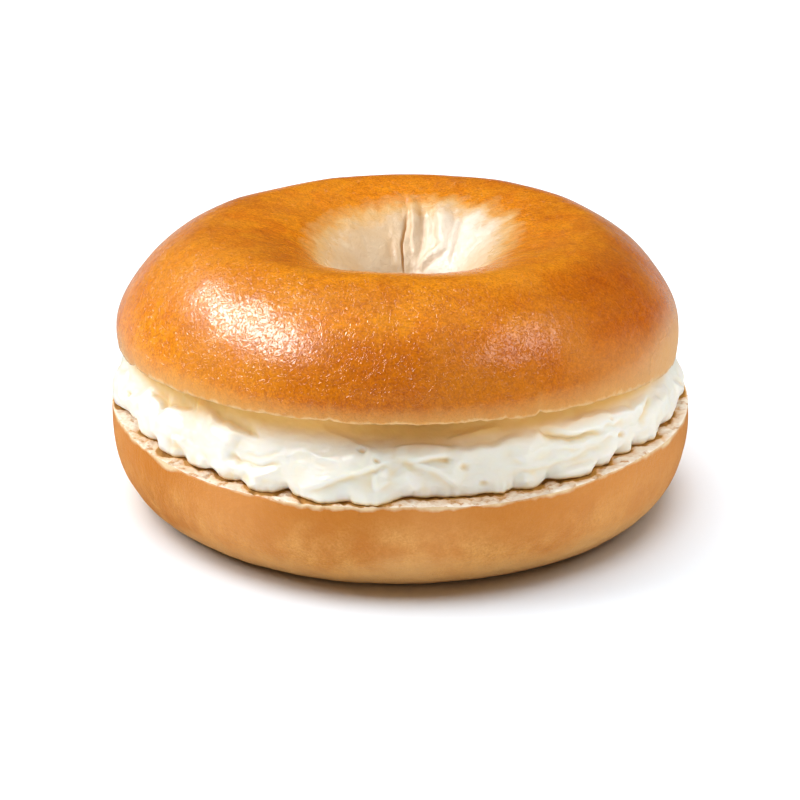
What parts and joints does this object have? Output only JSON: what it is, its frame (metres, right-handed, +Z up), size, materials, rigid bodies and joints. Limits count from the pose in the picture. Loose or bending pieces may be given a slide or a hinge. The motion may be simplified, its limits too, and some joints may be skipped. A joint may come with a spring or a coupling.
{
  "type": "bagel with cream cheese",
  "caption": "Sliced plain bagel with a shiny domed top half, a flat bottom half and a thick layer of cream cheese between them, open through its hole.",
  "frame": {"origin": "on the table, under the middle of the whole outline", "axes": "+Z up along the bagel's hole, -Y towards the front, where the top half is lifted, +X to the right"},
  "size_m": [0.1122, 0.1128, 0.0575],
  "materials": {
    "crust": "glossy baked crust, golden brown, pale round the hole",
    "pale_crust": "satin baked crust, light brown",
    "cream_cheese": "moist satin, off-white"
  },
  "bodies": {
    "root": {"bottom_half": "pale_crust", "cream_cheese": "cream_cheese", "top_half": "crust"}
  },
  "joints": []
}
